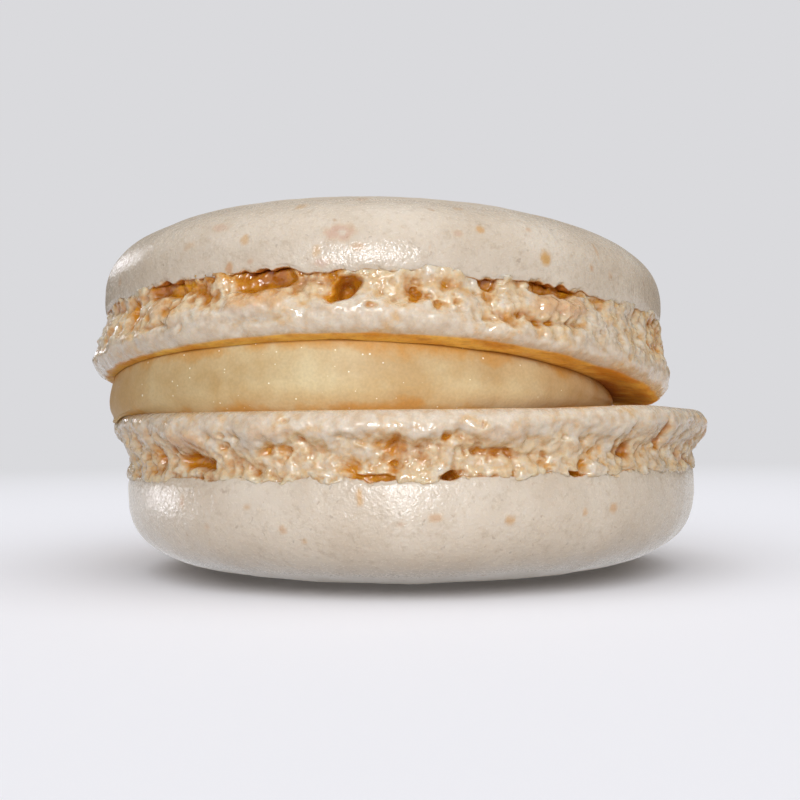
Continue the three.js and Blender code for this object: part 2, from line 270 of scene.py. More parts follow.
def hollow_depth(shell, azimuth, height, stray, climb):
    """Depth of the hollows, how much of a pit there is, and how much of a lip, from 0 to 1: a fold of crumb
    that swells out below a hollow, with a crease under it. stray and climb shift the place sideways and up
    in mm, which makes their outlines ragged."""
    depth, pits, lips = np.zeros((3, *np.broadcast(azimuth, height).shape))
    per_degree = math.radians(1) * shell["skin_radius"]
    degrees = degrees_in_run(azimuth)
    for place, length, up, tall, deepest, lean in shell["hollows"]:
        across = (degrees - place) * per_degree + stray
        along = across / (length * per_degree)
        above = (height + climb - up - lean * across) / tall
        below = (above + 1) * tall + LIP_HEIGHT
        is_open = up + tall > shell["foot_height"] - REACHES
        if is_open:
            above = np.minimum(above, 0)
        bowl = smoothstep(0.15, 0.75, np.exp(-(along**2) - above**2))
        depth = np.maximum(depth, 1.1 * deepest * bowl)
        fold = min(1, deepest) * smoothstep(3, 5, length)
        lips = np.maximum(lips, fold * np.exp(-(along**4) - (below / LIP_HEIGHT) ** 2))
        if is_open:
            crease = np.exp(-(along**4) - ((below + CREASE_BELOW) / CREASE_HEIGHT) ** 2)
            depth = np.maximum(depth, 0.35 * deepest * crease)
    for place, up, radius in shell["pits"]:
        away = np.hypot((degrees - place) * per_degree + 0.7 * stray, height + climb - up)
        pits = np.maximum(pits, smoothstep(1.3 * radius, 0.3 * radius, away))
    return depth, pits, lips * (1 - smoothstep(0.0, 0.25, depth))


def foot_side(shell, azimuth, share):
    """The side of the foot, where share is 0 at the skin's edge and 1 at the cream side. The skirt swells
    out on its way down to its rounded rim, and the groove cuts in under the skin. The crumb has packed
    lumps of three sizes, hollows and bubbles, and the skirt has soft swells. Returns the radius, the
    height, how crumbly it is, how deep it lies and how much of a lip it is."""
    rim = cream_side(shell, azimuth, shell["skin_radius"])
    height = border_height(shell, azimuth) * (1 - share) + rim * share
    x = shell["skin_radius"] * np.sin(azimuth)
    y = shell["skin_radius"] * np.cos(azimuth)
    seed = shell["seed"]

    # The crumb's own lattice leans and wanders, and its wandering also frays the hollows.
    u, v, w = leaned(x, y, height)
    stray = swings((u, v, w), STRAY, seed + 620)
    climb = swings((v, w, u), CLIMB, seed + 630)
    drift = swings((w, u, v), DRIFT, seed + 601)
    u, v, w = u + drift, v + 0.15 * stray, w + 0.5 * climb

    reach = np.interp(degrees_in_run(azimuth), *shell["crumb_reach"])
    reach = reach + 0.14 * around_rim(shell, azimuth, 3.5, 600) + 0.28 * climb
    reach = reach + 0.10 * noise(u, v, w, seed + 610)
    crumbly = 1 - smoothstep(reach - 0.12, reach + 0.18, share)

    # The slow shape: the skirt and its rounded rim, the groove, the hollows and the pits.
    swell = smoothstep(0.1, 1 - shell["skirt_at"], share)
    rounding = np.clip((share - 1 + shell["skirt_at"]) / shell["skirt_at"], 0, 1)
    skirt = shell["skirt_out"] * (0.65 * swell + 0.35 * (1 - crumbly))
    skirt = skirt - shell["skirt_round"] * (1 - np.sqrt(1 - rounding**2))

    groove = GROOVE_DEPTH + GROOVE_SWING * around_rim(shell, azimuth, GROOVE_LENGTH, 200)
    groove = np.maximum(0, groove) * np.exp(-(((share - shell["groove_at"]) / shell["groove_wide"]) ** 2))
    hollow, pit, lip = hollow_depth(shell, azimuth, height, stray, climb)
    coarse = lumps(x / SWELL_SIZE, y / SWELL_SIZE, height / SWELL_SIZE, seed + 300, 0.3) - 0.8
    coarse = SWELL_HEIGHT * coarse * (1 - 0.6 * smoothstep(0.45, 0.75, share))
    ripple = RIPPLE_HEIGHT * around_rim(shell, azimuth, RIPPLE_LENGTH, 400) * smoothstep(0.45, 0.8, share)

    # The close relief: packed lumps with grit on them where it is torn, soft swells on the skirt, bubbles.
    big = lumps(u / BIG, v / BIG, w / BIG, seed + 640, 0.16)
    middle = lumps(u / MIDDLE, v / MIDDLE, w / MIDDLE, seed + 650, 0.20)
    small = lumps(u / SMALL, v / SMALL, w / SMALL, seed + 655, 0.20)
    grit = swings((u, v, w), GRIT, seed + 656)
    torn = 0.54 * (big - BIG_LEVEL) + 0.34 * (middle - LUMP_LEVEL) + 0.14 * (small - LUMP_LEVEL) + grit
    soft = swings((u, v, w), SOFT_SWELLS, seed + 680)
    soft = soft + 0.07 * (middle - LUMP_LEVEL) + 0.05 * (small - LUMP_LEVEL) + 0.2 * grit
    u, v, w = u + swings((w, u, v), CLOSE_DRIFT, seed + 657), v + 2 * grit, w + 0.4 * climb
    burst = bubbles(u, v, w, BUBBLE, seed + 660) * (0.06 + 0.66 * crumbly)
    small_burst = bubbles(u, v, w, SMALL_BUBBLE, seed + 670) * (0.16 + 0.60 * crumbly)

    # Here and there the crumb rises over the skin's edge; elsewhere it goes in under the skin.
    over_edge = smoothstep(-0.4, 0.4, around_rim(shell, azimuth, 1.5, 150))
    over_edge = over_edge * (1 - over_hollows(shell, azimuth))
    under_skin = GOES_IN * smoothstep(0.0, -0.06, share + 0.06 * over_edge)
    merged = (STANDS_OVER * over_edge + 0.5 * groove) * smoothstep(0.18, 0.05, share)

    # Lips, hollows and pits are calmer than the rest, and nothing stands out much near the skin's edge.
    calm = (1 - 0.7 * lip) * (1 - 0.75 * smoothstep(0.1, 0.6, hollow)) * (1 - 0.7 * pit)
    rough = torn * crumbly * calm + soft * (1 - crumbly)
    relief = coarse + ripple + LIP_OUT * lip + rough
    relief = np.where(relief > 0, relief * (0.3 + 0.7 * smoothstep(0.0, 0.3, share)), relief)
    relief = (relief - (burst + small_burst) * calm) * np.sqrt(1 - 0.8 * rounding**2)
    radius = skin_radius(shell, azimuth) + skirt - groove - hollow - PIT_DEPTH * pit
    radius = radius + relief - under_skin + merged

    # How deep the crumb lies, which colours it: partly the crumb's own caramel colour, and partly painted
    # shade, which deepens the colour in the creases between lumps, the hollows, pits, groove, bubbles and
    # sunken swells.
    deep = 0.92 * hollow + 0.45 * pit + 0.36 * groove + 0.9 * (burst + small_burst) * calm - 0.25 * coarse
    crease_shade = 0.66 * (CREASES_FROM - big) + 0.30 * (CREASES_FROM - middle)
    deep = deep + crumbly * crease_shade * (1 - 0.7 * lip)
    deep = deep + crumbly * np.interp(degrees_in_run(azimuth), *shell["toasted"])
    return radius, height, crumbly, np.clip(deep, 0, 1.3), lip


FOOT_VALUES = ("crumbly", "deep", "lip", "mat")


def foot_rows(shell, azimuth):
    """The foot as rows from the middle of its cream side, out round the rim, up its side and in under the
    skin. The rows lie closer together round the rim, as the sine of even steps of an angle. Each row is
    radius, height and FOOT_VALUES: crumbly, deep, lip and mat, which is above 0 on the browned cream side."""
    rounded = 1 - shell["skirt_at"] * (1 - np.sin(np.radians(np.linspace(88, 0, RIM_ROWS))))
    side = np.linspace(1 - shell["skirt_at"], UNDER_SKIN, SIDE_ROWS)
    side = np.concatenate([rounded, side[1:]])[:, None]
    radius, height, crumbly, deep, lip = foot_side(shell, azimuth[None, :], side)
    mat = (side - 1 + shell["skirt_at"]) / shell["skirt_at"] + 0.03 * around_rim(shell, azimuth, 1.2, 720)
    start = np.interp(degrees_in_run(azimuth), *shell["browned_from"])
    mat = smoothstep(start - 0.03, start + 0.03, mat)

    # The cream side's rows, as shares of its radius, are closer together where it shows.
    bed = np.array([0, 0.4, 0.66, 0.78, 0.83, 0.87, 0.905, 0.935, 0.965])[:, None] * radius[0]
    x, y = bed * np.sin(azimuth), bed * np.cos(azimuth)
    uneven = 0.07 * noise(x / 2.0, y / 2.0, 0.5, shell["seed"] + 700) * (bed > 0)
    # Painted shade: a deeper brown under and just round the cream's edge, in the corner between the cream and
    # the cream side.
    shade_edge = SHADE_RADIUS + 0.8 * noise(x / 1.5, y / 1.5, 0.5, shell["seed"] + 710)
    deepening = CORNER_SHADE * smoothstep(shade_edge + 0.4, shade_edge - 0.9, bed)

    # Three rows close the foot off, hidden under the skin.
    inner = np.maximum(0, radius[-1] - np.array([1.5, 4.0, 1000])[:, None])
    nothing, all_in = np.zeros(bed.shape), np.ones(inner.shape)
    return np.stack([
        np.concatenate([bed, radius, inner]),
        np.concatenate([cream_side(shell, azimuth, bed) + uneven, height, height[-1:] + 0.05 * all_in]),
        np.concatenate([nothing, crumbly, all_in]),
        np.concatenate([deepening, deep * (1 - mat), all_in]),
        np.concatenate([nothing, lip, 0 * all_in]),
        np.concatenate([nothing + 1, mat, 0 * all_in]) * shell["mat_side"],
    ])


def shell_points(azimuth, radius, height):
    """Points in the shell's own frame from azimuth, radius and height, dome up."""
    return np.stack([radius * np.sin(azimuth), -radius * np.cos(azimuth), height], axis=-1)


def turned_over(points):
    """The lower shell's points in the row frame: dome down, its cream side at CREAM_SIDE_Z."""
    return points * [1, 1, -1] + [0, 0, CREAM_SIDE_Z]


def ring_mesh(name, points, **values):
    """A closed mesh through rows of points, bottom row first, each row a ring and the first and last a
    single point: two triangles or a quad between neighbours. values are kept as attributes."""
    rings, columns = points.shape[0] - 2, points.shape[1]
    vertices = np.concatenate([points[:1, 0], points[1:-1].reshape(-1, 3), points[-1:, 0]]) * MM
    index = 1 + np.arange(rings * columns).reshape(rings, columns)
    beside = np.roll(index, -1, axis=1)
    quads = np.stack([index[:-1], beside[:-1], beside[1:], index[1:]], axis=-1).reshape(-1, 4)
    top = np.full(columns, len(vertices) - 1)
    under = np.stack([top * 0, beside[0], index[0]], axis=-1)
    over = np.stack([index[-1], beside[-1], top], axis=-1)
    corners = np.concatenate([quads.ravel(), under.ravel(), over.ravel()])
    starts = np.concatenate([np.arange(len(quads)) * 4, quads.size + np.arange(2 * columns) * 3])
    mesh = bpy.data.meshes.new(name)
    mesh.vertices.add(len(vertices))
    mesh.vertices.foreach_set("co", vertices.astype(np.float32).ravel())
    mesh.loops.add(len(corners))
    mesh.loops.foreach_set("vertex_index", corners.astype(np.int32))
    mesh.polygons.add(len(starts))
    mesh.polygons.foreach_set("loop_start", starts.astype(np.int32))
    mesh.update(calc_edges=True)
    mesh.shade_smooth()
    for key, rows in values.items():
        rows = np.broadcast_to(rows, points.shape[:2])
        flat = np.concatenate([rows[:1, 0], rows[1:-1].ravel(), rows[-1:, 0]])
        mesh.attributes.new(key, "FLOAT", "POINT").data.foreach_set("value", flat.astype(np.float32))
    piece = bpy.data.objects.new(name, mesh)
    bpy.context.scene.collection.objects.link(piece)
    return piece


def linear(hex_colour):
    """A colour for a socket from its sRGB hex value: each channel is undone from the sRGB curve."""
    channels = [int(hex_colour[i : i + 2], 16) / 255 for i in (1, 3, 5)]
    return [c / 12.92 if c <= 0.04045 else ((c + 0.055) / 1.055) ** 2.4 for c in channels] + [1.0]


def add(owner, kind, sockets=None, **settings):
    """A node with its settings and its sockets. A socket takes a value, an output, or a node, whose first
    output that is in use it is then linked to. A Mix of colours has its share at socket 0, and its two
    colours at 6 and 7."""
    made = owner.node_tree.nodes.new("ShaderNode" + kind)
    for key, value in settings.items():
        setattr(made, key, value)
    for key, value in (sockets or {}).items():
        if isinstance(value, bpy.types.Node):
            value = next(output for output in value.outputs if output.enabled)
        if isinstance(value, bpy.types.NodeSocket):
            owner.node_tree.links.new(value, made.inputs[key])
        else:
            made.inputs[key].default_value = value
    return made


def empty_material(name):
    """A material with nothing in it yet."""
    material = bpy.data.materials.new(name)
    material.use_nodes = True
    material.node_tree.nodes.clear()
    return material


def band(low, high, first=0.0, second=1.0):
    """The sockets that make a Map Range carry low to high over to first to second."""
    return {"From Min": low, "From Max": high, "To Min": first, "To Max": second}


# Dried almond meringue, torn open: ivory on its lumps and skirt, straw coloured in the creases, amber where
# it is hollow and brown at the bottom of the deepest gaps. The straw and amber are partly the crumb's own
# caramel colour and partly painted shade, which deepens with depth, and the brown is painted shade. The lips
# are toasted, and the cream side is golden with darker patches from the baking mat, with painted shade near
# the cream's edge. Sugar syrup that set on the crumb glints in small spots, and the light soaks about a
# millimetre into it.
crumb = empty_material("almond_meringue_crumb")
place = add(crumb, "TexCoord").outputs["Object"]
is_crumbly, is_deep, is_lip, is_mat = (
    add(crumb, "Attribute", attribute_name=name).outputs["Fac"] for name in FOOT_VALUES
)
wide_noise = add(crumb, "TexNoise", {"Vector": place, "Scale": 1 / (2.2 * MM), "Detail": 3.0})
wide = add(crumb, "MapRange", {"Value": wide_noise, **band(0.38, 0.62)})
close_noise = add(crumb, "TexNoise", {"Vector": place, "Scale": 1 / (0.6 * MM), "Detail": 4.0})
close = add(crumb, "MapRange", {"Value": close_noise, **band(0.36, 0.64)})
ivory = add(crumb, "Mix", {0: close, 6: linear("#dad0c1"), 7: linear("#cbbaa4")}, data_type="RGBA")
straw = add(crumb, "Mix", {0: close, 6: linear("#dfcdae"), 7: linear("#d3b58c")}, data_type="RGBA")
amber = add(crumb, "Mix", {0: wide, 6: linear("#d09020"), 7: linear("#b4721c")}, data_type="RGBA")

# How deep the crumb lies, stirred by noise, picks its colour, and the torn crumb is a little warmer. The
# deeper colours are partly the crumb's own caramel colour and partly painted shade.
stir = add(crumb, "MapRange", {"Value": close_noise, **band(0.3, 0.7, -0.16, 0.16)})
deepening = add(crumb, "MapRange", {"Value": wide_noise, **band(0.45, 0.66, 0.0, 0.32)})
warmth = add(crumb, "Math", {0: is_crumbly, 1: 0.13, 2: deepening}, operation="MULTIPLY_ADD")
depth = add(crumb, "Math", {0: is_deep, 1: stir}, operation="ADD")
warm_depth = add(crumb, "Math", {0: depth, 1: warmth}, operation="ADD")
straw_share = add(crumb, "MapRange", {"Value": warm_depth, **band(0.14, 0.46)})
amber_share = add(crumb, "MapRange", {"Value": depth, **band(0.28, 0.66)})
# Painted shade: brown at the bottom of the deepest gaps.
gap_shade_share = add(crumb, "MapRange", {"Value": depth, **band(1.10, 1.50, 0.0, 0.85)})
outside = add(crumb, "Mix", {0: straw_share, 6: ivory, 7: straw}, data_type="RGBA")
lip_share = add(crumb, "MapRange", {"Value": is_lip, **band(0.15, 0.6, 0.0, 0.85)})
outside = add(crumb, "Mix", {0: lip_share, 6: outside, 7: linear("#d0ac84")}, data_type="RGBA")
hollow = add(crumb, "Mix", {0: amber_share, 6: outside, 7: amber}, data_type="RGBA")
torn = add(crumb, "Mix", {0: gap_shade_share, 6: hollow, 7: linear("#904416")}, data_type="RGBA")

# The cream side, which lay on the mat: golden, with darker patches, and painted a deeper brown as shade
# where its deep value marks the corner by the cream's edge.
baked = add(crumb, "Mix", {0: wide, 6: linear("#fac85e"), 7: linear("#e09c34")}, data_type="RGBA")
patches = add(crumb, "MapRange", {"Value": close_noise, **band(0.52, 0.68, 0.0, 0.35)})
patchy = add(crumb, "Mix", {0: patches, 6: baked, 7: linear("#a8661e")}, data_type="RGBA")
mat_side = add(crumb, "Mix", {0: is_deep, 6: patchy, 7: linear("#96481c")}, data_type="RGBA")
even_colour = add(crumb, "Mix", {0: is_mat, 6: torn, 7: mat_side}, data_type="RGBA")

# Fine foam, pores, and the sugar that makes the gloss uneven.
foam = add(crumb, "TexVoronoi", {"Vector": place, "Scale": 1 / (0.50 * MM)}, feature="SMOOTH_F1")
foam_share = add(crumb, "Math", {0: is_crumbly, 1: 0.75, 2: 0.15}, operation="MULTIPLY_ADD")
foamy = add(crumb, "Math", {0: foam, 1: foam_share}, operation="MULTIPLY")
pores = add(crumb, "TexNoise", {"Vector": place, "Scale": 1 / (0.15 * MM), "Detail": 2.0})
grainy = add(crumb, "MapRange", {"Value": pores, **band(0.35, 0.65, 0.93, 1.05)})
crumb_colour = add(crumb, "VectorMath", {0: even_colour, "Scale": grainy}, operation="SCALE")
foam_bump = add(crumb, "Bump", {"Height": foamy, "Strength": 1.0, "Distance": 0.12 * MM}, invert=True)
pore_bump = {"Height": pores, "Strength": 0.7, "Distance": 0.02 * MM}
crumb_bump = add(crumb, "Bump", {**pore_bump, "Normal": foam_bump})
sugary = add(crumb, "TexNoise", {"Vector": place, "Scale": 1 / (0.35 * MM), "Detail": 1.0})
gloss = add(crumb, "MapRange", {"Value": sugary, **band(0.42, 0.54, 0.34, 0.14)})
crumb_surface = add(
    crumb,
    "BsdfPrincipled",
    {
        "Base Color": crumb_colour,
        "Roughness": add(crumb, "Math", {0: is_mat, 1: 0.4, 2: gloss}, operation="MULTIPLY_ADD"),
        "Normal": crumb_bump,
        "IOR": 1.62,
        "Subsurface Weight": 0.65,
        "Subsurface Radius": (1.4, 1.1, 0.8),
        "Subsurface Scale": 0.7 * MM,
    },
)
add(crumb, "OutputMaterial", {"Surface": crumb_surface})

foot_azimuth = 2 * math.pi * np.arange(FOOT_COLUMNS) / FOOT_COLUMNS
rows = foot_rows(LOWER, foot_azimuth)[:, ::-1]
lower_foot = ring_mesh(
    "lower_foot",
    turned_over(shell_points(foot_azimuth, rows[0], rows[1])),
    **dict(zip(FOOT_VALUES, rows[2:])),
)
lower_foot.data.materials.append(crumb)
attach(lower_foot, "root")
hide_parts("lower_shell")

# ------------------------------------------------------------------------------------------------------
# The skin of the lower shell
#
# The dried top of the piped meringue, which lifted off the foot as one smooth dome. It ends in a frayed,
# slightly tucked edge, with a ceiling behind it that is caramel coloured like the hollows, partly as painted
# shade.
# ------------------------------------------------------------------------------------------------------

SKIN_COLUMNS = 1000
CEILING_ROWS, EDGE_ROWS, WALL_ROWS, SHOULDER_ROWS, DOME_ROWS = 5, 6, 12, 46, 31
EDGE_ROUND = 0.16  # radius of the rounded edge
CEILING = 2.6  # how far the ceiling reaches in over the hollows
CEILING_ARCH = 0.30
TUCK, TUCK_HEIGHT = 0.14, 1.0  # how far the wall goes in towards its edge, and over what height
FRAYED = 1.1  # height of the band over the edge where crumb shows through
DOME_UNEVEN, DOME_LENGTH = 0.10, 9.0
DENTS, DIMPLES = [(0.07, 3.0)], [(0.02, 0.9)]

# Ground almond skin that lies in the front of the dome: azimuth in degrees, height, half length, half
# height, how strongly it shows, which is negative for a paler spot, and how pink it is rather than ochre.
LOWER["flecks"] = [
    (-44, 5.9, 0.22, 0.38, 0.5, 0.6),
    (-38, 7.4, 0.28, 0.22, 0.35, 0.5),
    (-28.5, 6.1, 0.32, 0.18, 0.55, 0.3),
    (-21.9, 7.4, 0.30, 0.28, 0.6, 0.5),
    (-18.3, 8.1, 0.24, 0.16, 0.6, 0.3),
    (-8.4, 5.3, 0.22, 0.42, 0.75, 0.1),
    (-2.0, 7.0, 0.25, 0.20, 0.4, 0.8),
    (3.6, 6.6, 0.48, 0.26, 0.6, 0.5),
    (15.9, 6.9, 0.32, 0.26, 0.8, 0.3),
    (29.8, 6.6, 0.20, 0.18, 0.6, 0.3),
    (36.0, 6.4, 0.32, 0.30, 0.7, 0.4),
]


def fleck_marks(shell, azimuth, height):
    """How strongly the flecks show at a point, and how pink it is there: each fleck is an oval with a soft
    and ragged edge."""
    x, y = shell["skin_radius"] * np.sin(azimuth), shell["skin_radius"] * np.cos(azimuth)
    ragged = swings((x, y, height), [(0.35, 0.3)], shell["seed"] + 820)
    strength, pink = np.zeros((2, *np.broadcast(azimuth, height).shape))
    turned = np.mod(azimuth + math.pi, 2 * math.pi) - math.pi
    for place, up, length, tall, shows, pinkness in shell["flecks"]:
        along = (turned - math.radians(place)) * shell["skin_radius"] / length
        mark = smoothstep(1.35, 0.55, np.hypot(along, (height - up) / tall) + ragged)
        strength = strength + shows * mark
        pink = np.maximum(pink, pinkness * mark)
    return np.clip(strength, 0, 1), pink


SKIN_VALUES = ("inside", "fleck", "pink", "near_edge", "top")


def skin_rows(shell, azimuth):
    """The skin as rows from the hidden middle of its ceiling, out to the edge, round the lip, up the wall,
    and in over the dome, a superellipse: (radius / skin_radius) ** dome_across + (rise / dome_height) **
    dome_up = 1, level inside the flat spot. Each row is radius, height and SKIN_VALUES: inside, which is 1
    on the ceiling, the strength and pinkness of the flecks, how near the edge is, and top, which is 1 on top
    of the dome."""
    rows = []
    wide = skin_radius(shell, azimuth)
    edge = border_height(shell, azimuth)
    border = border_swing(shell, azimuth)
    settled = shell["foot_height"] + shell["wall"]

    def row(radius, height, inside):
        """One more row, with what the material needs to know there."""
        strength, pink = fleck_marks(shell, azimuth, np.broadcast_to(height, azimuth.shape))
        near_edge = np.clip(1 - (height - edge) / FRAYED, 0, 1)
        top = smoothstep(0.90, 0.70, radius / wide) * (1 - inside)
        rows.append(np.stack(np.broadcast_arrays(radius, height, inside, strength, pink, near_edge, top)))

    def skin(radius, height, steepness):
        """One more row, dented: outwards where the skin is upright, and upwards where it is level."""
        point = (radius * np.sin(azimuth), radius * np.cos(azimuth), height)
        dents = swings(point, DENTS, shell["seed"] + 800) + swings(point, DIMPLES, shell["seed"] + 810)
        row(radius + dents * (1 - steepness), height + dents * steepness, 0)

    # The ceiling, from its hidden middle outwards, and the rounded edge.
    for share in (0, 0.5, 0.8):
        row((wide - CEILING) * share, edge + 0.5, 1)
    for share in np.linspace(0, 1, CEILING_ROWS)[:-1]:
        arch = CEILING_ARCH * math.cos(share * math.pi / 2)
        row(wide - TUCK - EDGE_ROUND - (CEILING - EDGE_ROUND) * (1 - share), edge + arch, 1)
    for turn in np.radians(np.linspace(-90, 0, EDGE_ROWS)):
        bend = EDGE_ROUND * (1 + math.sin(turn))
        row(wide - TUCK - EDGE_ROUND * (1 - math.cos(turn)), edge + bend, smoothstep(-0.5, -1.5, turn))

    # The upright wall, tucked in towards its edge.
    wall_top = settled + 0.5 * border
    for share in np.linspace(0, 1, WALL_ROWS)[1:-1]:
        height = (edge + EDGE_ROUND) * (1 - share) + wall_top * share
        below = np.clip(1 - (height - shell["foot_height"] - border) / TUCK_HEIGHT, 0, 1)
        skin(wide - TUCK * below**2, height, 0.0)

    # The dome: even steps of an angle over its shoulder, and then even steps in to its middle.
    power, flat = shell["dome_across"], shell["flat_radius"] / shell["skin_radius"]
    shoulder = np.cos(np.radians(np.linspace(0, 66, SHOULDER_ROWS))) ** (2 / power)
    for across in np.concatenate([shoulder, np.linspace(shoulder[-1], 0, DOME_ROWS)[1:]]):
        radius = wide * across
        bulge = (1 - max(across, flat) ** power) / (1 - flat**power)
        x, y = radius * np.sin(azimuth) / DOME_LENGTH, radius * np.cos(azimuth) / DOME_LENGTH
        off_flat = smoothstep(shell["flat_radius"], shell["flat_radius"] + DOME_LENGTH, radius)
        uneven = DOME_UNEVEN * noise(x, y, 0.5, shell["seed"] + 500) * off_flat * (1 - across**4)
        height = settled + 0.5 * border * (max(0, across - flat) / (1 - flat)) ** 3 + uneven
        height = height + shell["dome_height"] * bulge ** (1 / shell["dome_up"])
        if across > flat:
            skin(radius, height, math.sqrt(1 - across**power))
        else:
            row(radius, height, 0)
    return np.stack(rows, axis=1)


# The same meringue with its skin dried shut: a satin eggshell with a fine grain that breaks up its gloss,
# mottled, with flecks of ground almond skin in it. On top of the dome it dried longest and is duller. Crumb
# shows through near its edge, and under the edge it is amber like the hollows, partly as painted shade.
skin = empty_material("almond_meringue_skin")
place = add(skin, "TexCoord").outputs["Object"]
is_inside, is_fleck, is_pink, is_near_edge, is_top = (
    add(skin, "Attribute", attribute_name=name).outputs["Fac"] for name in SKIN_VALUES
)
tones = add(skin, "TexNoise", {"Vector": place, "Scale": 1 / (5 * MM), "Detail": 5.0, "Roughness": 0.6})
tone = add(skin, "MapRange", {"Value": tones, **band(0.35, 0.65)})
shell_colour = add(skin, "Mix", {0: tone, 6: linear("#dbd2c5"), 7: linear("#cec2b2")}, data_type="RGBA")
swirls = add(skin, "TexNoise", {"Vector": place, "Scale": 1 / (0.6 * MM), "Detail": 3.0})
centred = add(skin, "VectorMath", {0: swirls.outputs["Color"], 1: (0.5, 0.5, 0.5)}, operation="SUBTRACT")
nudge = add(skin, "VectorMath", {0: centred, "Scale": 0.9 * MM}, operation="SCALE")
stirred_place = add(skin, "VectorMath", {0: place, 1: nudge}, operation="ADD")


def flecked(under, spacing, least, most, blur, strength, first, second):
    """The colour under it with flecks, at most one in each cell of that spacing in mm. The cell's first
    random number, carried over to least to most mm, gives the fleck's radius, and where that is negative
    there is none. Its second mixes the fleck's two colours. The edge is soft over blur mm."""
    cells = add(skin, "TexVoronoi", {"Vector": stirred_place, "Scale": 1 / (spacing * MM)})
    chances = add(skin, "SeparateColor", {0: cells.outputs["Color"]})
    radii = band(0, 1, least / spacing, most / spacing)
    radius = add(skin, "MapRange", {"Value": chances.outputs[0], **radii})
    inside = add(skin, "Math", {0: radius, 1: cells.outputs["Distance"]}, operation="SUBTRACT")
    share = add(skin, "MapRange", {"Value": inside, **band(0, blur / spacing, 0, strength)})
    tint = add(skin, "Mix", {0: chances.outputs[1], 6: linear(first), 7: linear(second)}, data_type="RGBA")
    return add(skin, "Mix", {0: share, 6: under, 7: tint}, data_type="RGBA")


# Mottles, flecks all over, and then the larger flecks that the mesh places.
mottles = add(skin, "TexNoise", {"Vector": place, "Scale": 1 / (0.55 * MM), "Detail": 3.0, "Roughness": 0.7})
mottled_share = add(skin, "MapRange", {"Value": mottles, **band(0.52, 0.70, 0.0, 0.42)})
mottled = add(skin, "Mix", {0: mottled_share, 6: shell_colour, 7: linear("#b5a590")}, data_type="RGBA")
speckled = flecked(mottled, 0.62, -0.08, 0.14, 0.05, 0.40, "#a58d74", "#8e8378")
speckled = flecked(speckled, 1.5, -0.40, 0.30, 0.12, 0.50, "#b9936a", "#a39080")
speckled = flecked(speckled, 3.2, -1.20, 0.65, 0.25, 0.55, "#cba56a", "#c49a82")
almond_colour = add(skin, "Mix", {0: is_pink, 6: linear("#cba05f"), 7: linear("#c39883")}, data_type="RGBA")
marked = add(skin, "Mix", {0: is_fleck, 6: speckled, 7: almond_colour}, data_type="RGBA")

# Near its edge the skin is worn through to the crumb, with the crumb's relief.
worn = add(skin, "TexNoise", {"Vector": place, "Scale": 1 / (0.8 * MM), "Detail": 4.0, "Roughness": 0.6})
frayed = add(skin, "Math", {0: is_near_edge, 1: worn}, operation="ADD")
frayed_share = add(skin, "MapRange", {"Value": frayed, **band(1.42, 1.60, 0.0, 0.8)})
edged = add(skin, "Mix", {0: frayed_share, 6: marked, 7: linear("#e0c497")}, data_type="RGBA")
# Under the edge the ceiling is painted amber: partly the crumb's colour, partly painted shade.
skin_colour = add(skin, "Mix", {0: is_inside, 6: edged, 7: linear("#cc8a40")}, data_type="RGBA")
edge_foam = add(skin, "TexVoronoi", {"Vector": place, "Scale": 1 / (0.45 * MM)}, feature="SMOOTH_F1")
edge_lumps = add(skin, "Math", {0: edge_foam, 1: frayed_share}, operation="MULTIPLY")
edge_bump = add(skin, "Bump", {"Height": edge_lumps, "Strength": 1.0, "Distance": 0.20 * MM}, invert=True)

# Soft pebbles and a fine grain, which break up the gloss.
pebbles = add(skin, "TexNoise", {"Vector": place, "Scale": 1 / (0.42 * MM), "Detail": 1.0})
grain = add(skin, "TexNoise", {"Vector": place, "Scale": 1 / (0.17 * MM), "Detail": 2.0, "Roughness": 0.6})
pebbled = {"Height": pebbles, "Strength": 0.7, "Distance": 0.07 * MM}
pebble_bump = add(skin, "Bump", {**pebbled, "Normal": edge_bump})
grainy_skin = {"Height": grain, "Strength": 0.8, "Distance": 0.045 * MM}
skin_bump = add(skin, "Bump", {**grainy_skin, "Normal": pebble_bump})
satin = add(skin, "MapRange", {"Value": grain, **band(0.3, 0.7, 0.18, 0.30)})
skin_surface = add(
    skin,
    "BsdfPrincipled",
    {
        "Base Color": skin_colour,
        "Roughness": add(skin, "Math", {0: is_top, 1: 0.42, 2: satin}, operation="MULTIPLY_ADD"),
        "Normal": skin_bump,
        "IOR": 1.56,
        "Subsurface Weight": 0.25,
        "Subsurface Radius": (1.4, 1.1, 0.8),
        "Subsurface Scale": 0.5 * MM,
    },
)
add(skin, "OutputMaterial", {"Surface": skin_surface})

skin_azimuth = 2 * math.pi * np.arange(SKIN_COLUMNS) / SKIN_COLUMNS
rows = skin_rows(LOWER, skin_azimuth)[:, ::-1]
lower_skin = ring_mesh(
    "lower_skin",
    turned_over(shell_points(skin_azimuth, rows[0], rows[1])),
    **dict(zip(SKIN_VALUES, rows[2:])),
)
lower_skin.data.materials.append(skin)
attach(lower_skin, "root")
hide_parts("lower_shell")

# ------------------------------------------------------------------------------------------------------
# The foot of the upper shell
#
# The same crumb, on a shell that was baked beside the other and set down askew on the cream, dome up: it
# gapes at the front and closes at the right, where its rim sags. Its cream side shows, browned on the mat.
# ------------------------------------------------------------------------------------------------------

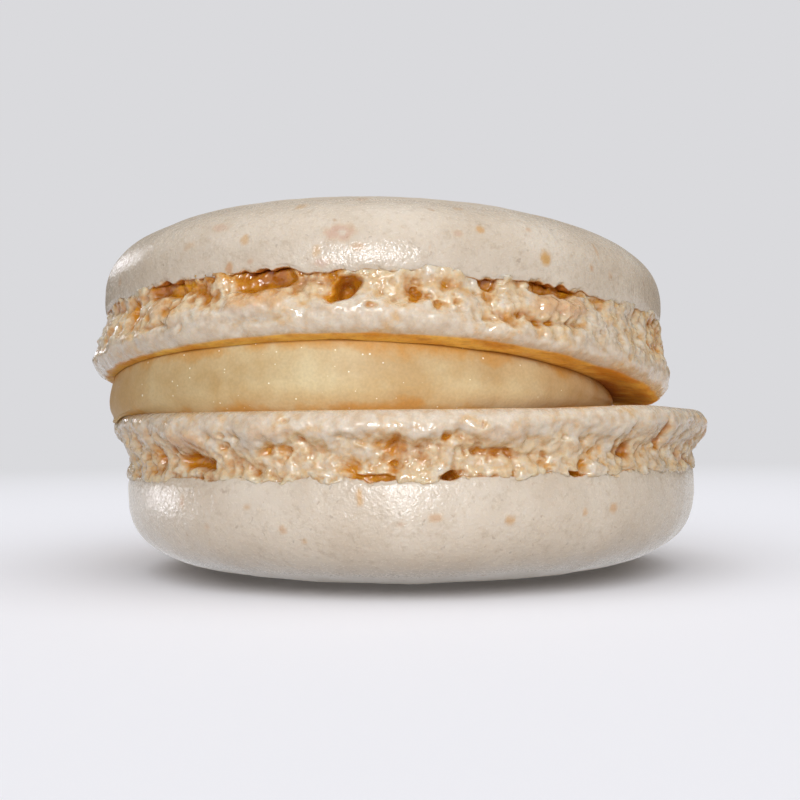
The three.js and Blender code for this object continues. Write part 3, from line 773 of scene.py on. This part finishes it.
UPPER = {
    "skin_radius": 21.5,
    "wall": 1.25,
    "dome_height": 6.05,
    "dome_across": 3.5,
    "dome_up": 2.3,
    "flat_radius": 0.0,
    "foot_height": 4.45,
    "border_wave": 0.4,
    "border_rise": 0.0,
    "rim_wave": 0.85,
    "rim_bends": [(85, 35, -0.80)],
    "skirt_out": 0.75,
    "skirt_at": 0.36,
    "skirt_round": 1.4,
    "belly": 0.25,
    "groove_at": 0.06,
    "groove_wide": 0.22,
    "browned_from": ([-60, -20, 15, 45, 60], [0.93, 0.90, 0.90, 0.965, 0.93]),
    "mat_side": 1.0,
    "hollows": [
        (-40.5, 4.2, 4.1, 0.48, 0.70, 0.0),
        (-19.5, 6.2, 4.1, 0.40, 0.72, 0.08),
        (-5.5, 3.2, 3.6, 0.72, 1.7, 0.30),
        (19.5, 1.5, 4.3, 0.30, 0.7, 0.0),
        (33, 6.0, 4.3, 0.24, 0.9, 0.0),
    ],
    "pits": [
        (-35, 1.5, 0.24),
        (-1, 2.5, 0.24),
        (6, 2.9, 0.28),
        (-52, 3.6, 0.30),
        (13, 3.1, 0.30),
        (34, 2.4, 0.26),
    ],
    "crumb_reach": ([-60, -50, -35, -12, 0, 15, 40, 60], [0.66, 0.60, 0.44, 0.42, 0.55, 0.72, 0.70, 0.66]),
    "toasted": ([-60, -45, -20, 0, 15, 30, 50, 60], [0.04, 0.24, 0.24, 0.06, -0.02, -0.06, -0.10, 0.04]),
    "seed": 29,
}
UPPER_AT = (-2.2, -0.2, 14.55)
UPPER_GAPE = math.radians(2.3)  # open at the front
UPPER_ROLL = math.radians(1.7)  # down at the right


def set_askew(points):
    """The upper shell's points in the row frame: rolled, then gaping, then moved to its place."""
    turn = Matrix.Rotation(-UPPER_GAPE, 3, "X") @ Matrix.Rotation(UPPER_ROLL, 3, "Y")
    return points @ np.array(turn).T + UPPER_AT


rows = foot_rows(UPPER, foot_azimuth)
upper_foot = ring_mesh(
    "upper_foot",
    set_askew(shell_points(foot_azimuth, rows[0], rows[1])),
    **dict(zip(FOOT_VALUES, rows[2:])),
)
upper_foot.data.materials.append(crumb)
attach(upper_foot, "root")
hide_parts("upper_shell")

# ------------------------------------------------------------------------------------------------------
# The skin of the upper shell
#
# The same dried skin, on a dome with softer shoulders than the lower one's, with more ground almond in it.
# Its edge rises and falls twice round.
# ------------------------------------------------------------------------------------------------------

UPPER["flecks"] = [
    (-57.9, 5.5, 0.30, 0.30, 0.4, 0.4),
    (-35.1, 6.9, 0.50, 0.30, 0.3, 0.3),
    (-29.0, 8.0, 0.75, 0.35, 0.4, 0.9),
    (-25.7, 5.2, 0.28, 0.40, 0.85, 0.6),
    (-22.9, 6.9, 0.35, 0.35, 0.55, 0.1),
    (-21.7, 5.5, 0.22, 0.20, 0.5, 0.7),
    (-14.5, 9.3, 0.45, 0.25, 0.4, 0.1),
    (-9.9, 6.0, 0.30, 0.35, 0.5, 0.0),
    (-9.0, 5.3, 0.60, 0.32, 0.4, 1.0),
    (-6.3, 7.2, 0.90, 0.60, 0.55, 1.0),
    (-5.8, 7.2, 0.28, 0.18, -0.5, 1.0),
    (-3.1, 6.3, 0.40, 0.28, 0.5, 0.4),
    (-3.3, 10.0, 0.50, 0.22, 0.35, 0.6),
    (8.5, 6.3, 0.10, 0.10, 0.7, 0.8),
    (13.5, 7.4, 0.32, 0.22, 0.4, 0.9),
    (15.1, 9.4, 0.45, 0.16, 0.4, 0.5),
    (17.8, 7.8, 0.36, 0.28, 0.8, 0.2),
    (27.4, 8.2, 0.28, 0.16, 0.5, 0.5),
    (29.8, 6.4, 0.42, 0.50, 0.9, 0.0),
    (40.6, 6.2, 0.14, 0.18, 0.7, 0.7),
    (43.3, 7.6, 0.16, 0.50, 0.5, 0.5),
    (45.9, 6.0, 0.25, 0.30, 0.35, 0.5),
]
rows = skin_rows(UPPER, skin_azimuth)
upper_skin = ring_mesh(
    "upper_skin",
    set_askew(shell_points(skin_azimuth, rows[0], rows[1])),
    **dict(zip(SKIN_VALUES, rows[2:])),
)
upper_skin.data.materials.append(skin)
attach(upper_skin, "root")
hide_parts("upper_shell")

# ------------------------------------------------------------------------------------------------------
# The filling
#
# Buttercream piped on the lower shell and pressed out by the upper one into a smooth, slightly crowned
# side, which laps a little over the lower shell's edge at the left.
# ------------------------------------------------------------------------------------------------------

FILLING_COLUMNS, FILLING_ROWS = 800, 60
FILLING_CENTRE = (-3.5, -1.0)
FILLING_RADIUS = 19.15
CROWNING = 0.3
FOOT_ROUND = 0.8  # how far the side draws in at its bottom
UNEVENNESS, UNEVEN_LENGTH = 0.25, 9.0
SWIRLS, SWIRL_LENGTH = 0.04, 1.6
STREAKS, STREAK_LENGTH = 0.012, 0.6
FILLING_SEED = 53
FOLD, FOLD_AT, FOLD_WIDTH = 0.45, math.radians(-72), math.radians(9)  # a fold of cream over the lower rim
FOLD_UP, FOLD_TALL = 0.06, 0.07  # its height and half height, as shares of the cream's
BITE = 0.05  # how far the cream goes into each shell, so that no gap shows


def under_upper(x, y):
    """Height of the upper shell's cream side above a point: its plane, leaning, and its wave."""
    dx, dy = x - UPPER_AT[0], y - UPPER_AT[1]
    lean = -math.tan(UPPER_GAPE) * dy - math.tan(UPPER_ROLL) * dx
    return UPPER_AT[2] + lean + cream_side(UPPER, np.arctan2(dx, -dy), np.hypot(dx, dy))


def over_lower(x, y):
    """Height of the lower shell's cream side, which turns down over the rounded rim."""
    radius = np.hypot(x, y)
    rim = LOWER["skin_radius"] + LOWER["skirt_out"]
    over = np.clip((radius - rim + LOWER["skirt_round"]) / LOWER["skirt_round"], 0, 0.95)
    drop = LOWER["skirt_at"] * LOWER["foot_height"] * (1 - np.sqrt(1 - over**2))
    return CREAM_SIDE_Z - cream_side(LOWER, np.arctan2(x, -y), radius) - drop


# The cream's rows run from the middle of its bottom, out, up its side and in to the middle of its top. rises
# is their share of the height and scales their share of the radius, which is the disc's, uneven, swirled by
# the nozzle, crowned by a sine, drawn in at the bottom, and swollen by the fold.
filling_azimuth = 2 * math.pi * np.arange(FILLING_COLUMNS) / FILLING_COLUMNS
rises = np.concatenate([[0, 0, 0], np.linspace(0, 1, FILLING_ROWS) ** 1.3, [1, 1, 1]])[:, None]
scales = np.concatenate([[0, 0.5, 0.85], np.ones(FILLING_ROWS), [0.85, 0.5, 0]])[:, None]
length = FILLING_RADIUS / UNEVEN_LENGTH
side = noise(length * np.sin(filling_azimuth), length * np.cos(filling_azimuth), rises, FILLING_SEED)
turned_x, turned_y = FILLING_RADIUS * np.sin(filling_azimuth), FILLING_RADIUS * np.cos(filling_azimuth)
swirl = SWIRLS * noise(turned_x / SWIRL_LENGTH, turned_y / SWIRL_LENGTH, rises * 1.2, FILLING_SEED + 1)
streaked = leaned(turned_x / STREAK_LENGTH, turned_y / STREAK_LENGTH, rises * 5)
swirl = swirl + STREAKS * noise(*streaked, FILLING_SEED + 2)
turned = np.mod(filling_azimuth + math.pi, 2 * math.pi) - math.pi
fold = FOLD * np.exp(-(((turned - FOLD_AT) / FOLD_WIDTH) ** 2))
fold = fold * np.exp(-(((rises - FOLD_UP) / FOLD_TALL) ** 2))
outward = CROWNING * np.sin(np.pi * rises) - FOOT_ROUND * (1 - rises) ** 6 + fold
radius = scales * (FILLING_RADIUS + UNEVENNESS * side + swirl + outward)
x = FILLING_CENTRE[0] + radius * np.sin(filling_azimuth)
y = FILLING_CENTRE[1] - radius * np.cos(filling_azimuth)
low, high = over_lower(x, y) - BITE, under_upper(x, y) + BITE
filling_piece = ring_mesh(
    "buttercream_disc",
    np.stack([x, y, low + (high - low) * rises], axis=-1),
    from_bottom=(high - low) * rises,
    from_top=(high - low) * (1 - rises),
)

# Buttercream: butter whipped with sugar, pale yellow, soft and a little translucent. It is painted deeper
# yellow away from the front and near the shells, as shade and as light bounced off the shells, and painted
# brown where it touches the upper one, as shade in the contact. Its surface is dull, and pale grains of sugar
# in it, drawn coarser than icing sugar so that they show, are glossier and painted near white as glints.
cream = empty_material("buttercream")
place = add(cream, "TexCoord").outputs["Object"]
from_bottom = add(cream, "Attribute", attribute_name="from_bottom").outputs["Fac"]
from_top = add(cream, "Attribute", attribute_name="from_top").outputs["Fac"]
clouds = add(cream, "TexNoise", {"Vector": place, "Scale": 1 / (3.0 * MM), "Detail": 4.0})
cloudy = add(cream, "MapRange", {"Value": clouds, **band(0.35, 0.65)})
pale = add(cream, "Mix", {0: cloudy, 6: linear("#d8c9a2"), 7: linear("#c6aa7a")}, data_type="RGBA")
# Painted shade, with light bounced off the shells: the cream is deeper yellow near both shells.
stray = add(cream, "MapRange", {"Value": clouds, **band(0.35, 0.65, 0.6, -0.6)})
below_top = add(cream, "Math", {0: from_top, 1: stray}, operation="ADD")
near_top = add(cream, "MapRange", {"Value": below_top, **band(0.90, 0.0, 0.0, 0.9)})
above_bottom = add(cream, "Math", {0: from_bottom, 1: stray}, operation="ADD")
near_bottom = add(cream, "MapRange", {"Value": above_bottom, **band(0.50, -0.1, 0.0, 0.7)})
shade_near_shells = add(cream, "Math", {0: near_top, 1: near_bottom}, operation="MAXIMUM")
# Painted shade: the cream is deeper yellow towards the sides and the back, away from the front.
behind_front = add(cream, "SeparateXYZ", {0: place}).outputs["Y"]
shade_aside = add(cream, "MapRange", {"Value": behind_front, **band(-19 * MM, -7 * MM, 0.0, 0.5)})
deeper_share = add(cream, "Math", {0: shade_near_shells, 1: shade_aside}, operation="MAXIMUM")
deeper = add(cream, "Mix", {0: deeper_share, 6: pale, 7: linear("#cf9b4a")}, data_type="RGBA")
# Painted shade: a thin brown line where the cream touches the upper shell.
contact_shade = add(cream, "MapRange", {"Value": from_top, **band(0.20, 0.08, 0.0, 0.6)})
cream_colour = add(cream, "Mix", {0: contact_shade, 6: deeper, 7: linear("#a06a24")}, data_type="RGBA")
cream_grain = add(cream, "TexNoise", {"Vector": place, "Scale": 1 / (0.18 * MM), "Detail": 2.0})
grain_shade = add(cream, "MapRange", {"Value": cream_grain, **band(0.35, 0.65, 0.95, 1.04)})
grained = add(cream, "VectorMath", {0: cream_colour, "Scale": grain_shade}, operation="SCALE")
# Painted glints: sparse grains of sugar, painted near white and given a lower roughness.
cells = add(cream, "TexVoronoi", {"Vector": place, "Scale": 1 / (0.42 * MM)})
chance = add(cream, "SeparateColor", {0: cells.outputs["Color"]}).outputs[0]
grain_radius = add(cream, "MapRange", {"Value": chance, **band(0.55, 1.0, 0.0, 0.19)})
in_grain = add(cream, "Math", {0: grain_radius, 1: cells.outputs["Distance"]}, operation="SUBTRACT")
sugar = add(cream, "MapRange", {"Value": in_grain, **band(0.0, 0.05)})
painted_glints = add(cream, "Mix", {0: sugar, 6: grained, 7: linear("#fffbea")}, data_type="RGBA")
cream_bump = add(cream, "Bump", {"Height": cream_grain, "Strength": 0.4, "Distance": 0.03 * MM})
cream_surface = add(
    cream,
    "BsdfPrincipled",
    {
        "Base Color": painted_glints,
        "Roughness": add(cream, "MapRange", {"Value": sugar, **band(0.0, 1.0, 0.55, 0.2)}),
        "Normal": cream_bump,
        "IOR": 1.46,
        "Subsurface Weight": 0.4,
        "Subsurface Radius": (1.3, 1.1, 0.7),
        "Subsurface Scale": 0.8 * MM,
    },
)
add(cream, "OutputMaterial", {"Surface": cream_surface})
filling_piece.data.materials.append(cream)
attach(filling_piece, "root")
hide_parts("filling")

# ------------------------------------------------------------------------------------------------------
# The floor, the lamps and the camera
#
# A plain white card in a pale room, soft lamps round the biscuit with a few small ones for its gloss, and a
# camera in front, nearly level with it and looking a little up.
# ------------------------------------------------------------------------------------------------------

FLOOR_SIZE = 6000
FLOOR_FADES = (60, 300)  # between these distances from the biscuit the floor fades into the room
bpy.ops.mesh.primitive_plane_add(size=FLOOR_SIZE * MM)
floor = bpy.context.object
floor.name = "floor"

# White card, matt, and the pale room round it. Where they are seen they are pale, they light the biscuit more
# softly than they look, and the card shines in the gloss of the lower shell.
card = empty_material("white_card")
matt = {"Roughness": 0.9, "Specular IOR Level": 0.1}
card_seen = add(card, "BsdfPrincipled", {"Base Color": linear("#eceff8"), **matt})
card_lighting = add(card, "BsdfPrincipled", {"Base Color": linear("#948676"), **matt})
card_shine = add(card, "Emission", {"Color": linear("#e6e8ec"), "Strength": 1.3})
card_far = add(card, "Emission", {"Color": linear("#dadadd"), "Strength": 1.0})
place = add(card, "TexCoord").outputs["Object"]
distance = add(card, "VectorMath", {0: place}, operation="LENGTH").outputs["Value"]
fading = band(*(reach * MM for reach in FLOOR_FADES))
far = add(card, "MapRange", {"Value": distance, **fading}, interpolation_type="SMOOTHSTEP")
card_fading = add(card, "MixShader", {0: far, 1: card_seen, 2: card_far})
path = add(card, "LightPath")
card_softly = add(card, "MixShader", {0: path.outputs["Is Diffuse Ray"], 1: card_fading, 2: card_lighting})
card_surface = add(card, "MixShader", {0: path.outputs["Is Glossy Ray"], 1: card_softly, 2: card_shine})
add(card, "OutputMaterial", {"Surface": card_surface})
floor.data.materials.append(card)

room = bpy.data.worlds.new("pale_room")
bpy.context.scene.world = room
room.use_nodes = True
room.node_tree.nodes.clear()
seen = add(room, "Background", {"Color": linear("#dadadd"), "Strength": 1.0})
lighting = add(room, "Background", {"Color": linear("#f6ece0"), "Strength": 0.33})
is_seen = add(room, "LightPath").outputs["Is Camera Ray"]
add(room, "OutputWorld", {"Surface": add(room, "MixShader", {0: is_seen, 1: lighting, 2: seen})})


WIDE = 30  # a lamp of this size or more gives soft light and no glints
BISCUIT = (0, 0, 13)  # the middle of the biscuit
pieces = [lower_foot, lower_skin, upper_foot, upper_skin, filling_piece]
lower, upper = [lower_foot, lower_skin], [upper_foot, upper_skin, filling_piece]


def lamp(name, kind, place, aim, strength, size, lit, colour):
    """A lamp at a place in mm that looks at another. It lights only the objects in lit, and they and the
    cream throw its shadows, so that no light goes through the cream. The size is the width in mm of an area
    lamp, and the spread in degrees of a sun. The lamp of the floor has everything's shadows."""
    light = bpy.data.lights.new(name, kind)
    light.energy = strength
    light.color = linear(colour)[:3]
    if kind == "SUN":
        light.angle = math.radians(size)
    else:
        light.shape = "DISK"
        light.size = size * MM
    holder = bpy.data.objects.new(name, light)
    holder.location = [c * MM for c in place]
    holder.rotation_euler = (Vector(aim) - Vector(place)).to_track_quat("-Z", "Y").to_euler()
    holder.visible_camera = False
    holder.visible_glossy = size < WIDE
    bpy.context.scene.collection.objects.link(holder)
    receivers = bpy.data.collections.new(name + "_lights")
    for receiver in lit:
        receivers.objects.link(receiver)
    holder.light_linking.receiver_collection = receivers
    if floor not in lit:
        blockers = bpy.data.collections.new(name + "_shadows")
        for piece in pieces:
            if piece in lit or piece == filling_piece:
                blockers.objects.link(piece)
        holder.light_linking.blocker_collection = blockers


# Small lamps close to the biscuit, just left of the camera: one above it for the upper shell and the cream,
# and one above and one below it for the lower shell. Two narrow suns from the left, a little from behind,
# for glints, the lower one on the lower skin alone. Soft light from the right, from above and from behind,
# and from low down in front, as off a pale floor, under the upper rim and on the cream. One for the floor.
lamp("key_lamp", "AREA", (-8, -98, 34), BISCUIT, 0.043, 12, upper, "#fcfcff")
lamp("lower_key_lamp", "AREA", (-8, -98, 30), BISCUIT, 0.035, 12, lower, "#fcfcff")
lamp("low_key_lamp", "AREA", (-8, -98, 4), BISCUIT, 0.014, 12, lower, "#fcfcff")
lamp("side_lamp", "SUN", (-60, 77, 44), BISCUIT, 0.16, 10, pieces, "#f8f8ff")
lamp("low_side_lamp", "SUN", (-92, 35, 8), BISCUIT, 0.55, 10, [lower_skin], "#f8f8ff")
lamp("right_lamp", "SUN", (100, -40, 19), BISCUIT, 0.70, 90, pieces, "#fffaf4")
lamp("top_lamp", "SUN", (0, 0, 100), BISCUIT, 1.3, 50, pieces, "#ffffff")
lamp("back_lamp", "SUN", (0, 100, 5), BISCUIT, 1.5, 60, pieces, "#ffffff")
lamp("low_lamp", "SUN", (10, -80, -61), BISCUIT, 1.0, 90, [upper_foot, filling_piece], "#ffffff")
lamp("floor_lamp", "SUN", (0, -50, 100), (0, 0, 0), 2.5, 100, [floor], "#ffffff")

FOCAL_LENGTH = 50.0
AXIS_POINT = (0.0, 0.0, 12.95)
SIDEWAYS = -0.70  # how far beside that point the line of sight passes, negative to the left
DISTANCE = 88.8
LOOKING_UP = math.radians(1.7)
LEANING = math.radians(0.54)  # round the line of sight
camera_data = bpy.data.cameras.new("camera")
camera_data.lens = FOCAL_LENGTH
camera_data.sensor_width = 36.0
camera_data.clip_start = 5 * MM
camera = bpy.data.objects.new("camera", camera_data)
turn = Matrix.Rotation(math.radians(90) + LOOKING_UP, 4, "X") @ Matrix.Rotation(-LEANING, 4, "Z")
below = DISTANCE * math.sin(LOOKING_UP)
away = (AXIS_POINT[0] + SIDEWAYS, -DISTANCE * math.cos(LOOKING_UP), AXIS_POINT[2] - below)
camera.matrix_world = Matrix.Translation([c * MM for c in away]) @ turn
bpy.context.scene.collection.objects.link(camera)
bpy.context.scene.camera = camera
bpy.context.scene.view_settings.view_transform = "Standard"
